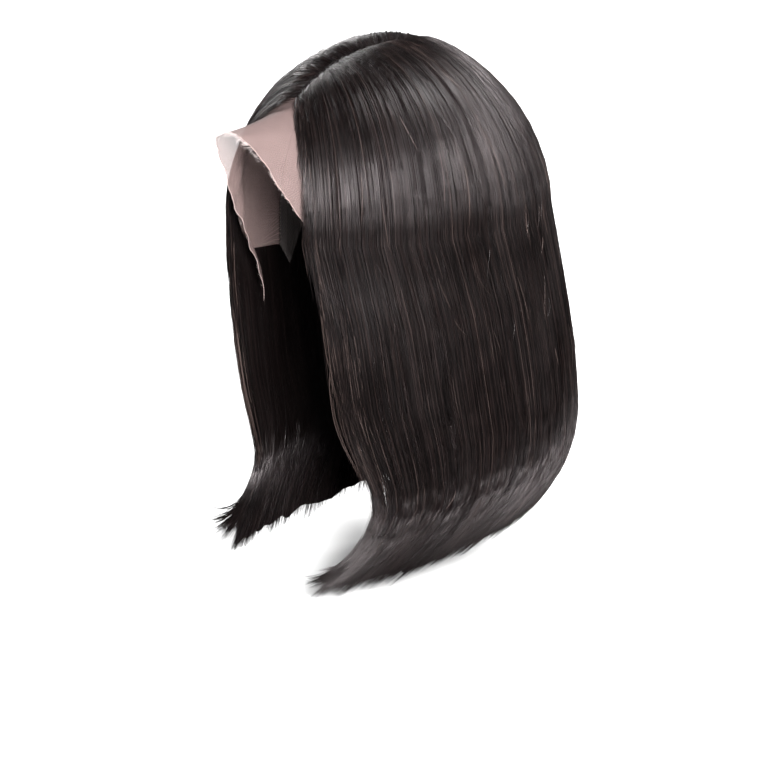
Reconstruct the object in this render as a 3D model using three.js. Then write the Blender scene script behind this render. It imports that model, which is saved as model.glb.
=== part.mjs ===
import * as THREE from "three";

// A bob wig of straight hair on a lace-front cap, in its worn form: millimetres, +Z up, facing -Y,
// its left side at +X. The origin is the seat, the inside of the cap at the crown.

// Cap and lace
const capWidth = 156;
const capDepth = 198;
const crownDepth = 105; // seat down to the widest level
const seatBehind = 4; // how far the seat lies behind the middle of the widest level
const napeTaper = 190; // how far below the widest level the cap's form would close
const capFullness = 2.4; // exponent of the cap's rounded form, 2 for an ellipsoid
const capWall = 1.5;
const laceWall = 1;
const laceSag = 2; // how far the free lace hangs below a straight line
const seamGap = 0.5; // between the lace's back seam and the cap
const hairlineReach = 79; // hairline at the front, ahead of the seat

// Hair over the cap
const crownBody = 12.5; // hair above the cap at the crown
const sideBody = 14; // hair beside the cap at the widest level
const frontBody = 5.5; // hair ahead of the cap's form at the widest level
const backBody = 22.5;
const squareness = 2.2; // exponent of the hair's oval sections
const frontSlope = 2.15; // exponent of the crown's outline ahead, 2 for an ellipse
const backSlope = 1.8; // exponent of the crown's outline behind
const seatClearance = 1.3; // between the cap and the hair on it
const sectionGap = 0.4; // between neighbouring hair sections
const leastThickness = 0.6;
const partWidth = 3;
const partClose = 24; // stretch in which the part closes at its back end
const partEnd = 24; // end of the part at the crown, behind the seat
const rootsEnd = 46; // last roots, behind the seat
const partRise = 20; // distance from the part in which the hair comes to its full body
const rootThickness = 2.6;
const rootLift = 0.12; // share of the full body that the hair has at its roots

// Hair below the cap
const hemFront = 341; // seat down to the ends of the front locks
const hemBack = 308;
const curlLength = 62; // stretch above the ends that turns
const curlIn = 25;
const sweepForward = 50; // how far the front ends lean to the front
const tipThickness = 2.4;
const fallThickness = 11;
const edgeThickness = 4.5; // at the front edge of each side
const edgeBand = 0.14; // share of a side in which the wall comes to its full thickness
const ridgeHeight = 2.2; // how far a lock stands out of the grooves beside it
const tipDepth = 9; // how far a lock's middle hangs below its edges
const lockVariety = 0.38; // differences between locks, as a share

// The front edge of each side, as an angle from straight out to the side towards the front
const sides = [
  { name: "left", hand: 1, frontEdge: 66 },
  { name: "right", hand: -1, frontEdge: 54 },
];

// Hair sections of one side from the front edge to the back: shares of the whole side, and locks in each
const sections = [
  { name: "front", from: 0, to: 0.16, locks: 3 },
  { name: "temple", from: 0.16, to: 0.36, locks: 3 },
  { name: "side", from: 0.36, to: 0.57, locks: 3 },
  { name: "rear", from: 0.57, to: 0.78, locks: 3 },
  { name: "back", from: 0.78, to: 1, locks: 3 },
];

// Outline of the falling hair at equal steps from the widest level down to the ends:
// width and depth as shares of those at the widest level, shift to the back as a share of the depth,
// and the front edge's angle as a share of that at the widest level
const fall = [
  { wide: 1, deep: 1, shift: 0, edge: 1 },
  { wide: 1.045, deep: 1.04, shift: 0.06, edge: 0.91 },
  { wide: 1.06, deep: 1.05, shift: 0.14, edge: 0.89 },
  { wide: 1.04, deep: 1.03, shift: 0.2, edge: 0.76 },
  { wide: 1.02, deep: 1, shift: 0.2, edge: 0.7 },
];

// Back seam of the lace, where the cap begins: its ends as an angle from straight up, and its place
// ahead of the middle as a share of half the cap's depth
const seamTurn = 100;
const seamAtTop = -0.12;
const seamAtEnds = 0.24;

// Where the lace leaves the cap's form: under the hair's front edge as far round as this share of the
// seam, then at the tabs, which reach ahead by this share of half the cap's depth
const edgeSpread = 0.8;
const tabReach = 0.5;

// Lower rim of the cap from the left tab round the nape to the right tab: angle from straight out to
// the side, and drop below the widest level as a share of the crown's depth
const capRim = [
  { turn: -9, drop: 0.44 },
  { turn: 4, drop: 0.12 },
  { turn: 26, drop: 0.16 },
  { turn: 50, drop: 0.46 },
  { turn: 90, drop: 0.6 },
  { turn: 130, drop: 0.46 },
  { turn: 154, drop: 0.16 },
  { turn: 176, drop: 0.12 },
  { turn: 189, drop: 0.44 },
];

// Cut edge of the lace from the left tab over the front to the right tab:
// shares of half the cap's width, half its depth and the crown's depth
const laceEdge = [
  { across: 0.8, ahead: 0.56, drop: 1.57 },
  { across: 0.64, ahead: 0.77, drop: 1.28 },
  { across: 0.46, ahead: 0.89, drop: 1.04 },
  { across: 0.31, ahead: 1.08, drop: 0.72 },
  { across: 0.13, ahead: 1.2, drop: 0.46 },
  { across: -0.08, ahead: 1.25, drop: 0.35 },
  { across: -0.32, ahead: 1.24, drop: 0.4 },
  { across: -0.46, ahead: 1.12, drop: 0.62 },
  { across: -0.5, ahead: 0.99, drop: 0.88 },
  { across: -0.56, ahead: 0.87, drop: 1.08 },
  { across: -0.68, ahead: 0.7, drop: 1.3 },
  { across: -0.78, ahead: 0.56, drop: 1.62 },
];

const laceSkin = { color: 0xc9a898, roughness: 0.75, metalness: 0 };
const capBlack = { color: 0x1a1615, roughness: 0.9, metalness: 0 };
const hairBlack = { color: 0x1d1716, roughness: 0.42, metalness: 0 };

const wig = new THREE.Group();
const mix = THREE.MathUtils.lerp;
const ease = THREE.MathUtils.smoothstep;
const radians = THREE.MathUtils.degToRad;
const power = (value, exponent) => Math.sign(value) * Math.abs(value) ** exponent;

// The row of a table at a share of its length, smooth between its rows
function rowAt(table, share) {
  const place = THREE.MathUtils.clamp(share, 0, 1);
  const read = (name) => {
    const curve = new THREE.CatmullRomCurve3(table.map((row) => new THREE.Vector3(row[name], 0, 0)));
    return curve.getPoint(place).x;
  };
  return Object.fromEntries(Object.keys(table[0]).map((name) => [name, read(name)]));
}

// A repeatable difference between locks, as a factor round 1
function lockFactor(number) {
  const wave = Math.sin(number * 12.99 + 4.1) * 43.76;
  return 1 + lockVariety * (2 * (wave - Math.floor(wave)) - 1);
}

// The cap's rounded form grown by an offset, about its centre at the widest level
const capCentre = new THREE.Vector3(0, -seatBehind, -crownDepth);

function roundedLength(vector) {
  const sum = vector.toArray().reduce((total, part) => total + Math.abs(part) ** capFullness, 0);
  return sum ** (1 / capFullness);
}

function capAxes(offset, below) {
  const tall = below ? napeTaper : crownDepth;
  return new THREE.Vector3(capWidth / 2 + offset, capDepth / 2 + offset, tall + offset);
}

function onCap(direction, offset) {
  const scaled = direction.clone().divide(capAxes(offset, direction.z < 0));
  return direction.clone().divideScalar(roundedLength(scaled)).add(capCentre);
}

function isOutsideCap(point, offset) {
  const from = point.clone().sub(capCentre);
  return roundedLength(from.divide(capAxes(offset, from.z < 0))) > 1;
}

// A closed solid between an outer and an inner grid of points with the same rows and columns
function shellSolid(outer, inner) {
  const rows = outer.length;
  const columns = outer[0].length;
  const position = [outer, inner].flat(2).flatMap((point) => point.toArray());
  const at = (layer, i, j) => (layer * rows + i) * columns + j;
  const index = [];
  const quad = (a, b, c, d) => index.push(a, b, c, a, c, d);
  const last = { row: rows - 1, column: columns - 1 };
  for (let i = 0; i < last.row; i++) {
    for (let j = 0; j < last.column; j++) {
      quad(at(0, i, j), at(0, i + 1, j), at(0, i + 1, j + 1), at(0, i, j + 1));
      quad(at(1, i, j), at(1, i, j + 1), at(1, i + 1, j + 1), at(1, i + 1, j));
    }
    quad(at(0, i, 0), at(1, i, 0), at(1, i + 1, 0), at(0, i + 1, 0));
    const end = last.column;
    quad(at(0, i, end), at(0, i + 1, end), at(1, i + 1, end), at(1, i, end));
  }
  for (let j = 0; j < last.column; j++) {
    quad(at(0, 0, j), at(0, 0, j + 1), at(1, 0, j + 1), at(1, 0, j));
    quad(at(0, last.row, j), at(1, last.row, j), at(1, last.row, j + 1), at(0, last.row, j + 1));
  }
  if (enclosedVolume(position, index) < 0) index.reverse();
  const geometry = new THREE.BufferGeometry();
  geometry.setAttribute("position", new THREE.Float32BufferAttribute(position, 3));
  geometry.setIndex(index);
  geometry.computeVertexNormals();
  return geometry;
}

function enclosedVolume(position, index) {
  const corner = (k) => new THREE.Vector3().fromArray(position, index[k] * 3);
  let volume = 0;
  for (let k = 0; k < index.length; k += 3) {
    volume += corner(k).dot(corner(k + 1).cross(corner(k + 2))) / 6;
  }
  return volume;
}

// A grid of points, a row at a time
function makeGrid(rows, columns, point) {
  const steps = (count) => Array.from({ length: count + 1 }, (_, k) => k);
  return steps(rows).map((i) => steps(columns).map((j) => point(i, j)));
}

function addPiece(name, geometry, finish) {
  const mesh = new THREE.Mesh(geometry, new THREE.MeshStandardMaterial(finish));
  mesh.name = name;
  wig.add(mesh);
}

// A direction part of the way from one to another, at an even turn
function slide(from, to, share) {
  const angle = from.angleTo(to);
  const start = Math.sin((1 - share) * angle);
  return from.clone().multiplyScalar(start).addScaledVector(to, Math.sin(share * angle)).normalize();
}

// Direction to a point on an arch over the form: its turn from straight up, and its forward reach
// as a share of half the cap's depth
function archDirection(turn, reach) {
  const round = Math.sqrt(1 - reach * reach);
  const axes = capAxes(0, Math.abs(turn) > 90);
  const angle = radians(turn);
  const direction = new THREE.Vector3(Math.sin(angle) * round, -reach, Math.cos(angle) * round);
  return direction.multiply(axes).normalize();
}

function seamDirection(turn, behind) {
  const reach = mix(seamAtTop, seamAtEnds, ease(Math.abs(turn), 0, seamTurn));
  return archDirection(turn, reach - behind / (capDepth / 2));
}

// Cap: from the lace's back seam over the top down to the rim round the nape
function rimDirection(share) {
  const { turn, drop } = rowAt(capRim, share);
  const down = drop * crownDepth;
  const shrink = Math.sqrt(1 - (down / napeTaper) ** 2);
  const angle = radians(turn);
  const direction = new THREE.Vector3(Math.cos(angle) * capWidth, Math.sin(angle) * capDepth, 0);
  return direction.multiplyScalar(shrink / 2).setZ(-down).normalize();
}

function makeCap(rows, columns) {
  const layer = (offset) => makeGrid(rows, columns, (i, j) => {
    const seam = seamDirection(mix(seamTurn, -seamTurn, j / columns), seamGap);
    return onCap(slide(seam, rimDirection(j / columns), i / rows), offset);
  });
  addPiece("cap", shellSolid(layer(capWall), layer(0)), capBlack);
}

// Lace: from the seam forward, lying on the cap's form, then free from the hair's edge to its cut edge
function leavingDirection(turn) {
  const side = turn < 0 ? sides[1] : sides[0];
  const spread = Math.abs(turn) / seamTurn;
  const edge = surfacePoint(side, 0, Math.min(spread / edgeSpread, 1) * domeRows, 0);
  edge.setX(edge.x * side.hand).sub(capCentre);
  const tab = archDirection(side.hand * seamTurn, tabReach);
  return slide(edge.normalize(), tab, ease(spread, edgeSpread - 0.1, 1));
}

function cutEdgePoint(share) {
  const { across, ahead, drop } = rowAt(laceEdge, share);
  return new THREE.Vector3((across * capWidth) / 2, (-ahead * capDepth) / 2, -drop * crownDepth);
}

function makeLace(seatedRows, freeRows, columns) {
  const middle = makeGrid(seatedRows + freeRows, columns, (i, j) => {
    const turn = mix(seamTurn, -seamTurn, j / columns);
    const seated = Math.min(i / seatedRows, 1);
    const free = Math.max(i - seatedRows, 0) / freeRows;
    const point = onCap(slide(seamDirection(turn, 0), leavingDirection(turn), seated), laceWall / 2);
    const edge = cutEdgePoint(j / columns);
    const inward = capCentre.clone().sub(edge).normalize();
    return point.lerp(edge, free).addScaledVector(inward, laceSag * Math.sin(Math.PI * free));
  });
  const layer = (offset) => makeGrid(seatedRows + freeRows, columns, (i, j) => {
    return middle[i][j].clone().addScaledVector(gridNormal(middle, i, j), offset);
  });
  addPiece("lace_front", shellSolid(layer(laceWall / 2), layer(-laceWall / 2)), laceSkin);
}

function gridNormal(grid, i, j) {
  const row = grid[i];
  const down = grid[Math.min(i + 1, grid.length - 1)][j].clone().sub(grid[Math.max(i - 1, 0)][j]);
  const across = row[Math.min(j + 1, row.length - 1)].clone().sub(row[Math.max(j - 1, 0)]);
  const normal = down.cross(across).normalize();
  return normal.dot(row[j].clone().sub(capCentre)) < 0 ? normal.negate() : normal;
}

// Hair: each flow line runs from a root on the part over the dome to the widest level, then falls.
// A flow line's share says how far round its side it lies, from the front edge to the middle of the back
const domeWide = capWidth / 2 + sideBody;
const domeDeep = (capDepth + frontBody + backBody) / 2;
const domeBack = (backBody - frontBody) / 2 - seatBehind;
const domeTall = crownDepth + capWall + crownBody;
const domeSteps = 48;
const domeRows = 7;
const fallRows = 9;
const rootCrowding = 0.8; // below 1 the front roots lie wider apart
const rowCrowding = 1.25; // above 1 the rows lie closer at the ends
const columnsPerLock = 4;

function rootPoint(share) {
  const y = mix(-hairlineReach, rootsEnd, share ** rootCrowding);
  const open = 1 - ease(y, partEnd - partClose / 2, partEnd + partClose / 2);
  return new THREE.Vector2(mix(sectionGap, partWidth, open) / 2, y);
}

function ovalPoint(angle, wide, deep, back) {
  const x = wide * power(Math.max(Math.cos(angle), 0), 2 / squareness);
  return new THREE.Vector2(x, back + deep * power(Math.sin(angle), 2 / squareness));
}

function domeHeight(x, y) {
  const used = Math.abs(x / domeWide) ** squareness + Math.abs((y - domeBack) / domeDeep) ** squareness;
  const slope = mix(frontSlope, backSlope, ease(y, -domeDeep / 4, domeDeep / 2));
  return domeTall * Math.max(1 - used ** (slope / squareness), 0) ** (1 / slope);
}

function domePath(side, share) {
  const root = rootPoint(share);
  const rim = ovalPoint(radians(mix(-side.frontEdge, 90, share)), domeWide, domeDeep, domeBack);
  const path = [];
  for (let k = 0; k < domeSteps; k++) {
    const place = root.clone().lerp(rim, 1 - (1 - k / domeSteps) ** 2);
    path.push(new THREE.Vector3(place.x, place.y, domeHeight(place.x, place.y) - crownDepth));
  }
  path.push(new THREE.Vector3(rim.x, rim.y, -crownDepth));
  return path;
}

// The point at a share of a path's length, and the length up to it
function walk(path, share) {
  const lengths = [0];
  for (let k = 1; k < path.length; k++) lengths.push(lengths[k - 1] + path[k].distanceTo(path[k - 1]));
  const walked = share * lengths.at(-1);
  let k = 1;
  while (k < path.length - 1 && lengths[k] < walked) k++;
  const part = (walked - lengths[k - 1]) / (lengths[k] - lengths[k - 1]);
  return { point: path[k - 1].clone().lerp(path[k], part), walked };
}

// Near the part the hair lies lower than the full dome
function domePoint(side, share, along) {
  const { point, walked } = walk(domePath(side, share), along);
  const low = onCap(point.clone().sub(capCentre), capWall + seatClearance + rootThickness);
  return low.lerp(point, Math.max(ease(walked, -partRise / 3, partRise), rootLift));
}

// Below the widest level the hair falls to its ends, which turn in, and at the front lean ahead
function fallPoint(side, share, down, hang) {
  const { wide, deep, shift, edge } = rowAt(fall, down);
  const angle = radians(mix(-side.frontEdge * edge, 90, share));
  const oval = ovalPoint(angle, domeWide * wide, domeDeep * deep, domeDeep * shift + domeBack);
  const hem = mix(hemFront, hemBack, ease(share, 0.05, 0.95)) - crownDepth;
  const drop = down * hem + down ** 2 * hang;
  const curl = Math.max(1 - (hem - drop) / curlLength, 0);
  const inward = new THREE.Vector2(0, domeBack).sub(oval).normalize().multiplyScalar(curlIn * curl ** 2);
  const lean = sweepForward * curl ** 1.6 * (1 - ease(share, 0, 0.7));
  inward.y *= ease(share, 0, 0.25);
  return new THREE.Vector3(oval.x + inward.x, oval.y + inward.y - lean, -crownDepth - drop);
}

function surfacePoint(side, share, row, hang) {
  if (row <= domeRows) return domePoint(side, share, Math.max(row, 0) / domeRows);
  const step = Math.min((row - domeRows) / fallRows, 1);
  return fallPoint(side, share, 1 - (1 - step) ** rowCrowding, hang);
}

// The surface with its direction towards the back and the way in: to the cap's centre, or level below it
function surfaceFrame(side, share, row, hang) {
  const point = surfacePoint(side, share, row, hang);
  const near = surfacePoint(side, Math.max(share - 0.01, 0), row, hang);
  const far = surfacePoint(side, Math.min(share + 0.01, 1), row, hang);
  const middle = capCentre.clone().setZ(Math.min(point.z, capCentre.z));
  return { point, back: far.sub(near).normalize(), inward: middle.sub(point).normalize() };
}

function thicknessAt(share, row) {
  const inside = ease(share, 0, edgeBand);
  const fallen = mix(edgeThickness, fallThickness, inside);
  const crown = mix(Math.min(crownBody, edgeThickness + rootThickness), crownBody, inside);
  const wall = mix(crown, fallen, ease(row, domeRows * 0.4, domeRows + 2));
  return mix(wall, tipThickness, ease((row - domeRows) / fallRows, 0.35, 1));
}

// The inner face lies at the wall's thickness, or as deep as the cap allows
function innerPoint(frame, thickness) {
  const offset = capWall + seatClearance;
  const reach = (depth) => frame.point.clone().addScaledVector(frame.inward, depth);
  if (isOutsideCap(reach(thickness), offset)) return reach(thickness);
  let least = 0;
  let most = thickness;
  for (let halving = 0; halving < 24; halving++) {
    const middle = (least + most) / 2;
    if (isOutsideCap(reach(middle), offset)) least = middle;
    else most = middle;
  }
  return reach(Math.max(least, leastThickness));
}

// Half the gap to the next section, or none at the front edge; the middle of the back stays on its plane
function openSeam(frame, section, atStart, atEnd) {
  if (atStart && section.from > 0) frame.point.addScaledVector(frame.back, sectionGap / 2);
  if (atEnd && section.to < 1) frame.point.addScaledVector(frame.back, -sectionGap / 2);
  if (atEnd && section.to === 1) {
    frame.point.x = sectionGap / 2;
    frame.inward.x = 0;
  }
}

function makeSection(side, section, firstLock) {
  const columns = section.locks * columnsPerLock;
  const outer = [];
  const inner = makeGrid(domeRows + fallRows, columns, (row, j) => {
    const share = mix(section.from, section.to, j / columns);
    const lock = lockFactor(firstLock + Math.min(Math.floor(j / columnsPerLock), section.locks - 1));
    const ridge = Math.sin((Math.PI * (j % columnsPerLock)) / columnsPerLock) * lock;
    const frame = surfaceFrame(side, share, row, tipDepth * (ridge - 0.5));
    openSeam(frame, section, j === 0, j === columns);
    const rise = ease(row, 0, domeRows / 2) * ridgeHeight * ridge;
    if (j === 0) outer.push([]);
    outer[row].push(frame.point.clone().addScaledVector(frame.inward, -rise));
    return innerPoint(frame, thicknessAt(share, row));
  });
  for (const point of [outer, inner].flat(2)) point.x *= side.hand;
  addPiece(`hair_${side.name}_${section.name}`, shellSolid(outer, inner), hairBlack);
}

makeCap(9, 26);
makeLace(6, 5, 30);
for (const side of sides) {
  let firstLock = side.hand < 0 ? 50 : 0;
  for (const section of sections) {
    makeSection(side, section, firstLock);
    firstLock += section.locks;
  }
}

export default wig;
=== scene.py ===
import math

import bpy
import numpy as np
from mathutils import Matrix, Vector


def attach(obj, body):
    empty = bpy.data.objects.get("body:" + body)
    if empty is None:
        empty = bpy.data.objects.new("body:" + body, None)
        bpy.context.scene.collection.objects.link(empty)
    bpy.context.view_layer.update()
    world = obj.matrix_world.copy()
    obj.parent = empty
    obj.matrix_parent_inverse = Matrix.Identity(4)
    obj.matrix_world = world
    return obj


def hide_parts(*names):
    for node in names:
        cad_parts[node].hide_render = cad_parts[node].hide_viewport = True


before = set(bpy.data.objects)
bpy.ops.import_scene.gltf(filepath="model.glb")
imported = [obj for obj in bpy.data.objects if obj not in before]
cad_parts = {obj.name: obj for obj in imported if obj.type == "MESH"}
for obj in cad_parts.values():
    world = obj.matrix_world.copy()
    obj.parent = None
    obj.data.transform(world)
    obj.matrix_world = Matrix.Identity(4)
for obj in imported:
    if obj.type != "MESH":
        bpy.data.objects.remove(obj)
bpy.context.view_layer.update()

print("frame loaded")

# The form of the cap and the hair, as in the part's source, in millimetres
cap = {
    "width": 156,
    "depth": 198,
    "crownDepth": 105,
    "seatBehind": 4,
    "napeTaper": 190,
    "fullness": 2.4,
    "wall": 1.5,
    "hairlineReach": 79,
}
hair = {
    "crownBody": 12.5,
    "sideBody": 14,
    "frontBody": 5.5,
    "backBody": 22.5,
    "squareness": 2.2,
    "frontSlope": 2.15,
    "backSlope": 1.8,
    "seatClearance": 1.3,
    "partWidth": 3,
    "partClose": 24,
    "partEnd": 24,
    "rootsEnd": 46,
    "partRise": 20,
    "rootThickness": 2.6,
    "rootLift": 0.12,
    "rootCrowding": 0.8,
    "hemFront": 341,
    "hemBack": 308,
    "curlLength": 62,
    "curlIn": 25,
    "sweepForward": 50,
}
sides = {"left": {"hand": 1, "frontEdge": 66}, "right": {"hand": -1, "frontEdge": 54}}
sections = {"front": (0, 0.16), "temple": (0.16, 0.36), "side": (0.36, 0.57), "rear": (0.57, 0.78), "back": (0.78, 1)}

# The falling hair at equal steps from the widest level down: width, depth, shift to the back, front edge's angle
fallRows = np.array([
    (1, 1, 0, 1),
    (1.045, 1.04, 0.06, 0.91),
    (1.06, 1.05, 0.14, 0.89),
    (1.04, 1.03, 0.2, 0.76),
    (1.02, 1, 0.2, 0.7),
])

domeWide = cap["width"] / 2 + hair["sideBody"]
domeDeep = (cap["depth"] + hair["frontBody"] + hair["backBody"]) / 2
domeBack = (hair["backBody"] - hair["frontBody"]) / 2 - cap["seatBehind"]
domeTall = cap["crownDepth"] + cap["wall"] + hair["crownBody"]
capCentre = np.array([0, -cap["seatBehind"], -cap["crownDepth"]], float)
domeShare = 0.4  # share of a strand's way, root to end, that lies on the dome


def mix(a, b, t):
    return a + (b - a) * t


def ease(value, low, high):
    t = np.clip((value - low) / (high - low), 0, 1)
    return t * t * (3 - 2 * t)


def unit(vectors):
    return vectors / np.maximum(np.linalg.norm(vectors, axis=-1, keepdims=True), 1e-9)


def rowsAt(table, share):
    # Smooth between the rows of a table
    place = np.clip(share, 0, 1) * (len(table) - 1)
    i = np.minimum(place.astype(int), len(table) - 2)
    t = (place - i)[..., None]
    padded = np.concatenate([[2 * table[0] - table[1]], table, [2 * table[-1] - table[-2]]])
    a, b, c, d = (padded[i + k] for k in range(4))
    return b + t * (c - a) / 2 + t**2 * (a - 2.5 * b + 2 * c - d / 2) + t**3 * (-a + 3 * b - 3 * c + d) / 2


def capAxes(offset, below):
    tall = np.where(below, cap["napeTaper"], cap["crownDepth"])
    axes = np.broadcast_to([cap["width"] / 2, cap["depth"] / 2, 0], (*np.shape(below), 3)).astype(float)
    axes[..., 2] += tall
    return axes + np.asarray(offset)[..., None]


def onCap(direction, offset):
    scaled = np.abs(direction / capAxes(offset, direction[..., 2] < 0)) ** cap["fullness"]
    return direction / (scaled.sum(-1) ** (1 / cap["fullness"]))[..., None] + capCentre


def outsideCap(point, offset):
    away = point - capCentre
    scaled = np.abs(away / capAxes(offset, away[..., 2] < 0)) ** cap["fullness"]
    return scaled.sum(-1) > 1


def ovalPoint(angle, wide, deep, back):
    x = wide * np.maximum(np.cos(angle), 0) ** (2 / hair["squareness"])
    y = back + deep * np.sign(np.sin(angle)) * np.abs(np.sin(angle)) ** (2 / hair["squareness"])
    return x, y


def domeLines(side, share, steps=72):
    # Flow lines over the dome, from the part to the widest level, and the length walked along each
    y = mix(-cap["hairlineReach"], hair["rootsEnd"], share ** hair["rootCrowding"])
    closing = 1 - ease(y, hair["partEnd"] - hair["partClose"] / 2, hair["partEnd"] + hair["partClose"] / 2)
    x = mix(0.1, hair["partWidth"] / 2, closing)
    rimX, rimY = ovalPoint(np.radians(mix(-side["frontEdge"], 90, share)), domeWide, domeDeep, domeBack)
    t = 1 - (1 - np.linspace(0, 1, steps)) ** 2
    px = x[:, None] + (rimX - x)[:, None] * t
    py = y[:, None] + (rimY - y)[:, None] * t
    used = np.abs(px / domeWide) ** hair["squareness"] + np.abs((py - domeBack) / domeDeep) ** hair["squareness"]
    slope = mix(hair["frontSlope"], hair["backSlope"], ease(py, -domeDeep / 4, domeDeep / 2))
    pz = domeTall * np.maximum(1 - used ** (slope / hair["squareness"]), 0) ** (1 / slope) - cap["crownDepth"]
    lines = np.stack([px, py, pz], -1)
    lengths = np.linalg.norm(np.diff(lines, axis=1), axis=-1).cumsum(1)
    return lines, np.concatenate([np.zeros((len(share), 1)), lengths], 1)


def domePart(side, share, along):
    lines, walked = domeLines(side, share)
    out = np.zeros((len(share), len(along), 3))
    for k in range(len(share)):
        length = along * walked[k, -1]
        for axis in range(3):
            out[k, :, axis] = np.interp(length, walked[k], lines[k, :, axis])
        low = onCap(out[k] - capCentre, np.full(len(along), cap["wall"] + hair["seatClearance"] + hair["rootThickness"]))
        lift = np.maximum(ease(length, -hair["partRise"] / 3, hair["partRise"]), hair["rootLift"])
        out[k] = mix(low, out[k], lift[:, None])
    return out


def fallPart(side, share, down):
    share, down = np.meshgrid(share, down, indexing="ij")
    wide, deep, shift, edge = np.moveaxis(rowsAt(fallRows, down), -1, 0)
    angle = np.radians(mix(-side["frontEdge"] * edge, 90, share))
    x, y = ovalPoint(angle, domeWide * wide, domeDeep * deep, domeDeep * shift + domeBack)
    hem = mix(hair["hemFront"], hair["hemBack"], ease(share, 0.05, 0.95)) - cap["crownDepth"]
    drop = down * hem
    curl = np.maximum(1 - (hem - drop) / hair["curlLength"], 0)
    inward = unit(np.stack([-x, domeBack - y], -1)) * (hair["curlIn"] * curl**2)[..., None]
    lean = hair["sweepForward"] * curl**1.6 * (1 - ease(share, 0, 0.7))
    return np.stack([x + inward[..., 0], y + inward[..., 1] * ease(share, 0, 0.25) - lean, -cap["crownDepth"] - drop], -1)


class Flow:
    # One side's hair surface: points, outward ways and ways across, by share round the side and way down
    def __init__(self, side, shares=181, domeSteps=49, fallSteps=72):
        self.side = side
        self.share = np.linspace(0, 1, shares)
        along = np.linspace(0, 1, domeSteps)
        down = np.linspace(0, 1, fallSteps + 1)[1:]
        self.way = np.concatenate([along * domeShare, domeShare + down * (1 - domeShare)])
        points = np.concatenate([domePart(side, self.share, along), fallPart(side, self.share, down)], 1)
        across = unit(np.gradient(points, axis=0))
        down = unit(np.gradient(points, axis=1))
        out = unit(np.cross(across, down))
        grid = points.shape[:2]
        middle = np.stack([np.zeros(grid), np.full(grid, capCentre[1]), np.minimum(points[..., 2], capCentre[2])], -1)
        out *= np.sign((out * (points - middle)).sum(-1))[..., None]
        for array in (points, across, out):
            array[..., 0] *= side["hand"]
        self.inward = unit(middle * [side["hand"], 1, 1] - points)
        self.points, self.across, self.out = points, across, out

    def at(self, array, share, way):
        # Read a grid between its points; past the ends it keeps the values at the ends
        s = np.clip(share, 0, 1) * (len(self.share) - 1)
        w = np.interp(way, self.way, np.arange(len(self.way)))
        i = np.clip(s.astype(int), 0, len(self.share) - 2)
        j = np.clip(w.astype(int), 0, len(self.way) - 2)
        a, b = (s - i)[..., None], (w - j)[..., None]
        top = mix(array[i, j], array[i + 1, j], a)
        return mix(top, mix(array[i, j + 1], array[i + 1, j + 1], a), b)


flows = {name: Flow(side) for name, side in sides.items()}
print("hair form ready")


def meshPiece(name, vertices, faces, material, uv=None, smooth=True):
    mesh = bpy.data.meshes.new(name)
    mesh.from_pydata(vertices.tolist(), [], [list(map(int, face)) for face in faces])
    if uv is not None:
        layer = mesh.uv_layers.new(name="UVMap")
        corners = np.zeros(len(mesh.loops), np.int32)
        mesh.loops.foreach_get("vertex_index", corners)
        layer.uv.foreach_set("vector", uv[corners].astype(np.float32).ravel())
    mesh.polygons.foreach_set("use_smooth", np.full(len(mesh.polygons), smooth))
    mesh.materials.append(material)
    piece = bpy.data.objects.new(name, mesh)
    bpy.context.scene.collection.objects.link(piece)
    return piece


def shellFaces(rows, columns):
    # A closed wall between an outer grid and an inner grid that follows it
    def at(layer, i, j):
        return (layer * rows + i) * columns + j

    i, j = np.meshgrid(np.arange(rows - 1), np.arange(columns - 1), indexing="ij")
    i, j = i.ravel(), j.ravel()
    outer = np.stack([at(0, i, j), at(0, i + 1, j), at(0, i + 1, j + 1), at(0, i, j + 1)], 1)
    inner = np.stack([at(1, i, j), at(1, i, j + 1), at(1, i + 1, j + 1), at(1, i + 1, j)], 1)
    r, c = np.arange(rows - 1), np.arange(columns - 1)
    e, f = rows - 1, columns - 1
    near = np.stack([at(0, r, 0), at(1, r, 0), at(1, r + 1, 0), at(0, r + 1, 0)], 1)
    far = np.stack([at(0, r, f), at(0, r + 1, f), at(1, r + 1, f), at(1, r, f)], 1)
    first = np.stack([at(0, 0, c), at(0, 0, c + 1), at(1, 0, c + 1), at(1, 0, c)], 1)
    last = np.stack([at(0, e, c), at(1, e, c), at(1, e, c + 1), at(0, e, c + 1)], 1)
    return np.concatenate([outer, inner, near, far, first, last])


def facingOut(vertices, faces):
    # Turn all faces round where the wall encloses a negative volume
    a, b, c, d = (vertices[faces[:, k]] for k in range(4))
    volume = (np.cross(b, c) * a).sum() + (np.cross(c, d) * a).sum()
    return faces if volume > 0 else faces[:, ::-1]


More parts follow.
